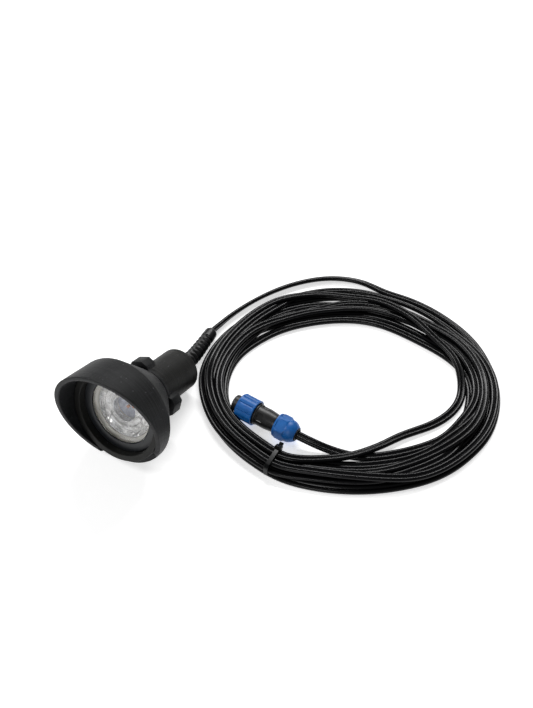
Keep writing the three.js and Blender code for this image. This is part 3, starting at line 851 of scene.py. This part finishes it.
for wing in range(3):
    turn = Matrix.Rotation(wing * 2.0 * math.pi / 3.0, 4, "Y")
    piece = wing_mesh(f"lock_ring_wing_{wing + 1}", lamp_frame @ turn)
    on_lamp(piece, filament_black, "moulded_black", "lock_ring", body="lock_ring")

# ---- Strain relief --------------------------------------------------------------------
# A soft black boot moulded on the flex: a plain collar at the lamp, eight ring ribs and
# a tapered end. It bends down to the floor with the flex.

RELIEF_ROUTE = [
    (0, 39.0, 16.13), (0, 42.03, 15.1), (-0.1, 46.8, 13.5), (-0.4, 52, 11.9), (-1.5, 63, 9),
    (-3.6, 77, 6.4), RELIEF_END,
]
RELIEF_RIBS = 8
RELIEF_LENGTH = 52.0


def boot_radius(along):
    """Radius of the boot at a distance along it from the lamp's rear face."""
    taper = 6.8 - 1.7 * max(along, 0.0) / RELIEF_LENGTH
    if along < 0.4:
        return 6.4
    rib_start, rib_end = 7.0, 43.0
    if rib_start < along < rib_end:
        ribs_passed = RELIEF_RIBS * (along - rib_start) / (rib_end - rib_start)
        wave = 0.5 - 0.5 * math.cos(2.0 * math.pi * ribs_passed)
        return taper - 1.5 * wave**1.6
    if along > RELIEF_LENGTH - 2.5:
        return taper - 1.4 * ramp((along - RELIEF_LENGTH + 2.5) / 2.5)
    return taper


def boot_rubber():
    """Soft moulded PVC: dark grey, satin, with a slight skin texture."""
    material, tree, main = surface(
        "boot_soft_pvc", {"Base Color": linear("#0a0a0c"), "Roughness": 0.34, "IOR": 1.5}
    )
    place = add(tree, "ShaderNodeTexCoord")
    skin = add(
        tree, "ShaderNodeTexNoise", {"Scale": fineness(1.43), "Detail": 3.0}, Vector=place.outputs["Object"]
    )
    relief = add(
        tree, "ShaderNodeBump", {"Strength": 0.2, "Distance": 0.2 * MM}, Height=skin.outputs["Fac"]
    )
    tree.links.new(relief.outputs["Normal"], main.inputs["Normal"])
    return material


def curved(route, spacing, rounds):
    """A smooth run of places through a given route, even along its length."""
    (fine,) = evenly(np.array(route, float), 0.5)
    fine = np.column_stack([eased(fine[:, i], rounds) for i in range(3)])
    return evenly(fine, spacing)[0]


boot_line = curved(RELIEF_ROUTE, 0.45, 40)
boot_stretch = RELIEF_LENGTH / (0.45 * (len(boot_line) - 1) - 3.2)
boot_circle = [(math.cos(t), math.sin(t)) for t in np.linspace(0, 2 * math.pi, 48, endpoint=False)]
boot_section = np.array(boot_circle)
boot = swept(
    "ribbed_boot",
    boot_line,
    lambda ring: boot_radius((0.45 * ring - 3.2) * boot_stretch) * boot_section,
    np.zeros(len(boot_line)),
)
on_lamp(boot, boot_rubber(), "rubber_black", "strain_relief")

# ---- Cable tie ------------------------------------------------------------------------
# A black nylon tie round the coil: a thin strap, a square head on the inside of the coil
# and the cut end of the strap standing up from the head.

TIE_WIDTH = 3.2
TIE_PLACE = Vector((99.6, 9.9, 0.0)) * MM
tie_frame = Matrix.Translation(TIE_PLACE) @ Matrix.Rotation(math.radians(271.0), 4, "Z")


def tie_strap():
    """The strap's loop: a rounded rectangle round the bundle, 1.1 mm thick."""
    half, low, high, corner = 10.4, 0.1, 12.4, 3.2
    loop = []
    for turn, x, z in ((0, 1, 1), (90, -1, 1), (180, -1, -1), (270, 1, -1)):
        middle = (x * (half - corner), (high - corner) if z > 0 else (low + corner))
        for step in range(0, 91, 15):
            t = math.radians(turn + step)
            loop.append((middle, (math.cos(t), math.sin(t))))
    side = TIE_WIDTH / 2
    section = [(-side, 0.15), (-side, 0.95), (0.15 - side, 1.1), (side - 0.15, 1.1)]
    section += [(side, 0.95), (side, 0.15), (side - 0.15, 0), (0.15 - side, 0)]
    vertices = []
    for (x, z), (nx, nz) in loop:
        for across, depth in section:
            reach = corner - depth
            vertices.append(((x + nx * reach) * MM, across * MM, (z + nz * reach) * MM))
    count = len(section)
    faces = []
    for i in range(len(loop)):
        ahead = (i + 1) % len(loop)
        for j in range(count):
            k = (j + 1) % count
            faces.append((i * count + j, i * count + k, ahead * count + k, ahead * count + j))
    mesh = bpy.data.meshes.new("tie_strap")
    mesh.from_pydata(vertices, [], faces)
    mesh.transform(tie_frame)
    return finished("tie_strap", mesh)


def tie_nylon():
    """Nylon 6.6, moulded: black with a soft sheen and faint flow lines along the strap."""
    material, tree, main = surface(
        "tie_nylon",
        {"Base Color": linear("#040506"), "Roughness": 0.3, "IOR": 1.53, "Specular IOR Level": 0.18},
    )
    place = add(tree, "ShaderNodeTexCoord")
    flow = add(
        tree, "ShaderNodeTexNoise", {"Scale": fineness(2.0), "Detail": 2.0}, Vector=place.outputs["Object"]
    )
    relief = add(
        tree, "ShaderNodeBump", {"Strength": 0.15, "Distance": 0.2 * MM}, Height=flow.outputs["Fac"]
    )
    tree.links.new(relief.outputs["Normal"], main.inputs["Normal"])
    return material


nylon_black = tie_nylon()
tie_head_spot = tie_frame @ Matrix.Translation(Vector((-8.7, 0.0, 11.9)) * MM)
tie_head_spot = tie_head_spot @ Matrix.Rotation(0.9, 4, "Y")
tie_end_spot = tie_frame @ Matrix.Translation(Vector((-11.4, 0.0, 11.2)) * MM)
tie_end_spot = tie_end_spot @ Matrix.Rotation(-1.3, 4, "Y")
for piece in (
    tie_strap(),
    box_mesh("tie_head", (3.4, 5.0, 4.6), tie_head_spot, 0.5),
    box_mesh("tie_cut_end", (1.1, TIE_WIDTH, 5.0), tie_end_spot, 0.2),
):
    on_lamp(piece, nylon_black, "moulded_black", "cable_tie")

# ---- Connector ------------------------------------------------------------------------
# A two-pole waterproof connector: a black contact block, a blue fluted coupling ring, a
# black shell with four flats, and a blue hexagonal gland nut that grips the flex.

PLUG_TURN = math.radians(-3.0 - 90.0)
plug_frame = Matrix.Translation(Vector((50.8, 38.8, 9.95)) * MM) @ Matrix.Rotation(PLUG_TURN, 4, "Z")
INSERT_RADIUS = 6.2
SHELL_RADIUS = 7.7
COUPLING_FRONT = 5.2
COUPLING_REAR = 19.4
COUPLING_RADIUS = 9.85
FLUTES = 10
NUT_FRONT = 37.4
NUT_REAR = 53.8
NUT_RADIUS = 9.3
SOCKET_OFFSET = 2.1
SOCKET_RADIUS = 1.4
SOCKET_DEPTH = 11.0


def moulded_nylon(name, colour, shade, roughness):
    """Glass-filled nylon from a mould: even colour, fine grain and slightly rubbed."""
    material, tree, main = surface(name, {"Roughness": roughness, "IOR": 1.53})
    place = add(tree, "ShaderNodeTexCoord")
    cloud = add(
        tree, "ShaderNodeTexNoise", {"Scale": fineness(7.7), "Detail": 5.0}, Vector=place.outputs["Object"]
    )
    colours = add(tree, "ShaderNodeValToRGB", Fac=cloud.outputs["Fac"])
    colours.color_ramp.elements[0].position = 0.3
    colours.color_ramp.elements[0].color = linear(shade)
    colours.color_ramp.elements[1].position = 0.7
    colours.color_ramp.elements[1].color = linear(colour)
    grains = {"Scale": fineness(0.667), "Detail": 2.0}
    grain = add(tree, "ShaderNodeTexNoise", grains, Vector=place.outputs["Object"])
    relief = add(
        tree, "ShaderNodeBump", {"Strength": 0.15, "Distance": 0.2 * MM}, Height=grain.outputs["Fac"]
    )
    tree.links.new(colours.outputs["Color"], main.inputs["Base Color"])
    tree.links.new(relief.outputs["Normal"], main.inputs["Normal"])
    return material


nylon_blue = moulded_nylon("nylon_blue", "#086bbd", "#0659a6", 0.44)
nylon_shell = moulded_nylon("nylon_shell_black", "#171718", "#101011", 0.4)


def fluted(turn, r, y):
    """Ten broad rounded ribs with narrow grooves, fading out at both ends of the ring."""
    if r < SHELL_RADIUS + 1.5:
        return r, y
    wave = abs(math.cos(turn * FLUTES / 2.0)) ** 0.42
    fade = ramp((y - COUPLING_FRONT - 1.2) / 1.0) * ramp((COUPLING_REAR - 0.5 - y) / 0.8)
    return r - 1.05 * (1.0 - wave) * fade, y


coupling_rows = [(COUPLING_RADIUS, COUPLING_FRONT + 1.2 + 0.55 * i) for i in range(24)]
coupling_profile = (
    [(7.3, COUPLING_FRONT), (9.0, COUPLING_FRONT), (9.3, COUPLING_FRONT + 0.3), (9.3, COUPLING_FRONT + 1.0)]
    + coupling_rows
    + [(9.6, COUPLING_REAR - 0.3), (9.3, COUPLING_REAR), (8.6, COUPLING_REAR), (8.3, COUPLING_REAR - 0.3)]
    + [(8.3, COUPLING_FRONT + 1.2), (7.3, COUPLING_FRONT + 1.2)]
)
coupling = turned("screw_ring", coupling_profile, 480, plug_frame, fluted)
on_lamp(coupling, nylon_blue, "plug_blue", "coupling_ring", body="coupling_ring")


flat_front, flat_rear = COUPLING_REAR + 2.6, COUPLING_REAR + 8.0
FLAT_REACH = 6.5  # from the connector's axis to a flat


def shell_flats(turn, r, y):
    """Cuts four short flats into the shell, just behind the coupling ring."""
    if r < SHELL_RADIUS - 0.6 or not flat_front < y < flat_rear:
        return r, y
    quarter = turn % (math.pi / 2.0) - math.pi / 4.0
    return min(r, FLAT_REACH / math.cos(quarter)) if abs(quarter) < 0.4 else r, y


shell_profile = [
    (INSERT_RADIUS + 0.3, 8.2), (SHELL_RADIUS, 8.2), (SHELL_RADIUS, COUPLING_REAR + 0.3),
    (8.1, COUPLING_REAR + 0.35), (8.3, COUPLING_REAR + 0.6), (8.3, COUPLING_REAR + 1.5),
    (8.1, COUPLING_REAR + 1.75), (SHELL_RADIUS, COUPLING_REAR + 1.8), (SHELL_RADIUS, flat_front - 0.02),
    (SHELL_RADIUS, flat_front + 0.02), (SHELL_RADIUS, flat_rear - 0.02), (SHELL_RADIUS, flat_rear + 0.02),
    (7.6, 29.5), (7.45, 31.0), (7.2, 33.0), (6.95, 35.0), (6.8, 36.2), (6.6, 36.6), (6.6, 40.5),
    (5.6, 40.5), (5.6, 14.7), (INSERT_RADIUS + 0.3, 14.7),
]
shell = turned("connector_body", shell_profile, 240, plug_frame, shell_flats)
on_lamp(shell, nylon_shell, "moulded_black", "connector_shell")

nose_profile = [
    (0.0, 0.0), (INSERT_RADIUS - 1.1, 0.0), (INSERT_RADIUS - 0.5, 0.15), (INSERT_RADIUS - 0.15, 0.5),
    (INSERT_RADIUS, 1.1), (INSERT_RADIUS, 14.4), (0.0, 14.4),
]
nose = turned("contact_block", nose_profile, 96, plug_frame, closed=False)
drill_profile = [(0.0, -1.0), (SOCKET_RADIUS, -1.0), (SOCKET_RADIUS, SOCKET_DEPTH), (0.0, SOCKET_DEPTH)]
for side in (-SOCKET_OFFSET, SOCKET_OFFSET):
    drill_place = plug_frame @ Matrix.Translation(Vector((side, 0.0, 0.0)) * MM)
    drill = turned("socket_drill", drill_profile, 32, drill_place, closed=False)
    cut = nose.modifiers.new("socket", "BOOLEAN")
    cut.object = drill
    cut.operation = "DIFFERENCE"
    cut.solver = "EXACT"
    cut_nose = nose.evaluated_get(bpy.context.evaluated_depsgraph_get())
    nose_mesh = bpy.data.meshes.new_from_object(cut_nose)
    nose.modifiers.remove(cut)
    nose.data = nose_mesh
    bpy.data.objects.remove(drill)
on_lamp(nose, nylon_shell, "moulded_black", "connector_insert")


def hexagonal(turn, r, y):
    """Six flats along the front of the gland nut, which run out under its dome."""
    if r < 6.7 or y < NUT_FRONT + 1.4:
        return r, y
    sixth = turn % (math.pi / 3.0) - math.pi / 6.0
    flat = 8.3 / math.cos(sixth)
    return (min(r, flat) if y < 46.6 else r), y


nut_profile = [
    (6.95, NUT_FRONT), (8.7, NUT_FRONT), (8.95, NUT_FRONT + 0.25), (8.95, NUT_FRONT + 1.3),
    (9.1, NUT_FRONT + 1.5), (NUT_RADIUS + 0.2, NUT_FRONT + 1.8), (NUT_RADIUS + 0.25, 41.5),
    (NUT_RADIUS + 0.25, 45.2), (9.1, 45.9), (8.6, 46.4), (8.45, 46.7), (8.45, 47.5),
    (8.35, 48.7), (8.0, 49.9),
    (7.4, 51.1), (6.6, 52.3), (6.0, 53.1), (5.6, 53.65), (5.2, NUT_REAR), (4.9, 53.4), (4.9, 51.0),
    (6.1, 49.2), (6.1, 44.5), (6.95, 44.5),
]
nut = turned("gland_cap", nut_profile, 240, plug_frame, hexagonal)
on_lamp(nut, nylon_blue, "plug_blue", "gland_nut", body="gland_nut")

# ---- Inner pieces ---------------------------------------------------------------------
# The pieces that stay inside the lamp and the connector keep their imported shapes, and
# get the finish of what they are made of.


def plain_finish(name, colour, shade, roughness, metallic=0.0, patch=5.0):
    """A finish for a mostly hidden piece: tone and gloss change in patches of so many millimetres."""
    material, tree, main = surface(name, {"Metallic": metallic})
    place = add(tree, "ShaderNodeTexCoord")
    patches = {"Scale": fineness(patch), "Detail": 4.0}
    cloud = add(tree, "ShaderNodeTexNoise", patches, Vector=place.outputs["Object"])
    colours = add(tree, "ShaderNodeValToRGB", Fac=cloud.outputs["Fac"])
    colours.color_ramp.elements[0].color = linear(shade)
    colours.color_ramp.elements[1].color = linear(colour)
    gloss = add(
        tree,
        "ShaderNodeMapRange",
        {"To Min": roughness - 0.08, "To Max": roughness + 0.08},
        Value=cloud.outputs["Fac"],
    )
    tree.links.new(colours.outputs["Color"], main.inputs["Base Color"])
    tree.links.new(gloss.outputs["Result"], main.inputs["Roughness"])
    return material


turned_aluminium = plain_finish("turned_aluminium", "#c4c6c9", "#a9abaf", 0.32, 1.0, 1.11)
drawn_brass = plain_finish("drawn_brass", "#d9b25c", "#b58d3d", 0.25, 1.0)
winding_copper = plain_finish("enamelled_copper", "#b06b3e", "#8a4c28", 0.35, 1.0, 0.833)
board_green = plain_finish("lacquered_board", "#2f6b3f", "#24552f", 0.4)
INNER_FINISHES = {
    "lens_gasket": rubber_black,
    "heat_sink": turned_aluminium,
    "driver_board": board_green,
    "driver_capacitor": rubber_black,
    "driver_inductor": winding_copper,
    "supply_wire_1": rubber_black,
    "supply_wire_2": rubber_black,
    "contact_sleeve_1": drawn_brass,
    "contact_sleeve_2": drawn_brass,
    "connector_seal_ring": rubber_black,
    "gland_seal": rubber_black,
}
for node, finish in INNER_FINISHES.items():
    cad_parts[node].data.materials.clear()
    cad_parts[node].data.materials.append(finish)

# ---- Studio ---------------------------------------------------------------------------
# A sheet of white paper lit from inside like a light table, a long soft light over the
# back, a smaller one at the left, and a dim even room.

paper_mesh = bpy.data.meshes.new("studio_paper")
paper_mesh.from_pydata([(-5, -5, 0), (5, -5, 0), (5, 5, 0), (-5, 5, 0)], [], [(0, 1, 2, 3)])
paper = bpy.data.objects.new("studio_paper", paper_mesh)
bpy.context.collection.objects.link(paper)
paper_white, *_ = surface(
    "white_paper",
    {
        "Base Color": linear("#ffffff"),
        "Roughness": 0.95,
        "Specular IOR Level": 0.1,
        "Emission Color": (1, 1, 1, 1),
        "Emission Strength": 0.55,
    },
)
paper.data.materials.append(paper_white)


def softbox(name, place, target, size, power):
    light = bpy.data.lights.new(name, "AREA")
    light.shape = "RECTANGLE"
    light.size, light.size_y = size
    light.energy = power
    lamp = bpy.data.objects.new(name, light)
    lamp.location = place
    lamp.rotation_euler = (Vector(target) - Vector(place)).to_track_quat("-Z", "Y").to_euler()
    bpy.context.collection.objects.link(lamp)


softbox("softbox_back", (-0.35, 1.15, 1.35), (0.08, 0.05, 0.0), (1.3, 0.22), 22.0)
softbox("softbox_left", (-1.2, -0.5, 1.1), (0.0, 0.0, 0.03), (0.6, 0.6), 9.0)
softbox("softbox_front", (0.5, -1.5, 1.2), (0.0, -0.05, 0.03), (0.6, 0.4), 7.0)
world = bpy.data.worlds.new("dim_room")
world.use_nodes = True
world.node_tree.nodes["Background"].inputs["Color"].default_value = (1.0, 1.0, 1.0, 1.0)
world.node_tree.nodes["Background"].inputs["Strength"].default_value = 0.14
bpy.context.scene.world = world
bpy.context.scene.view_settings.view_transform = "Standard"
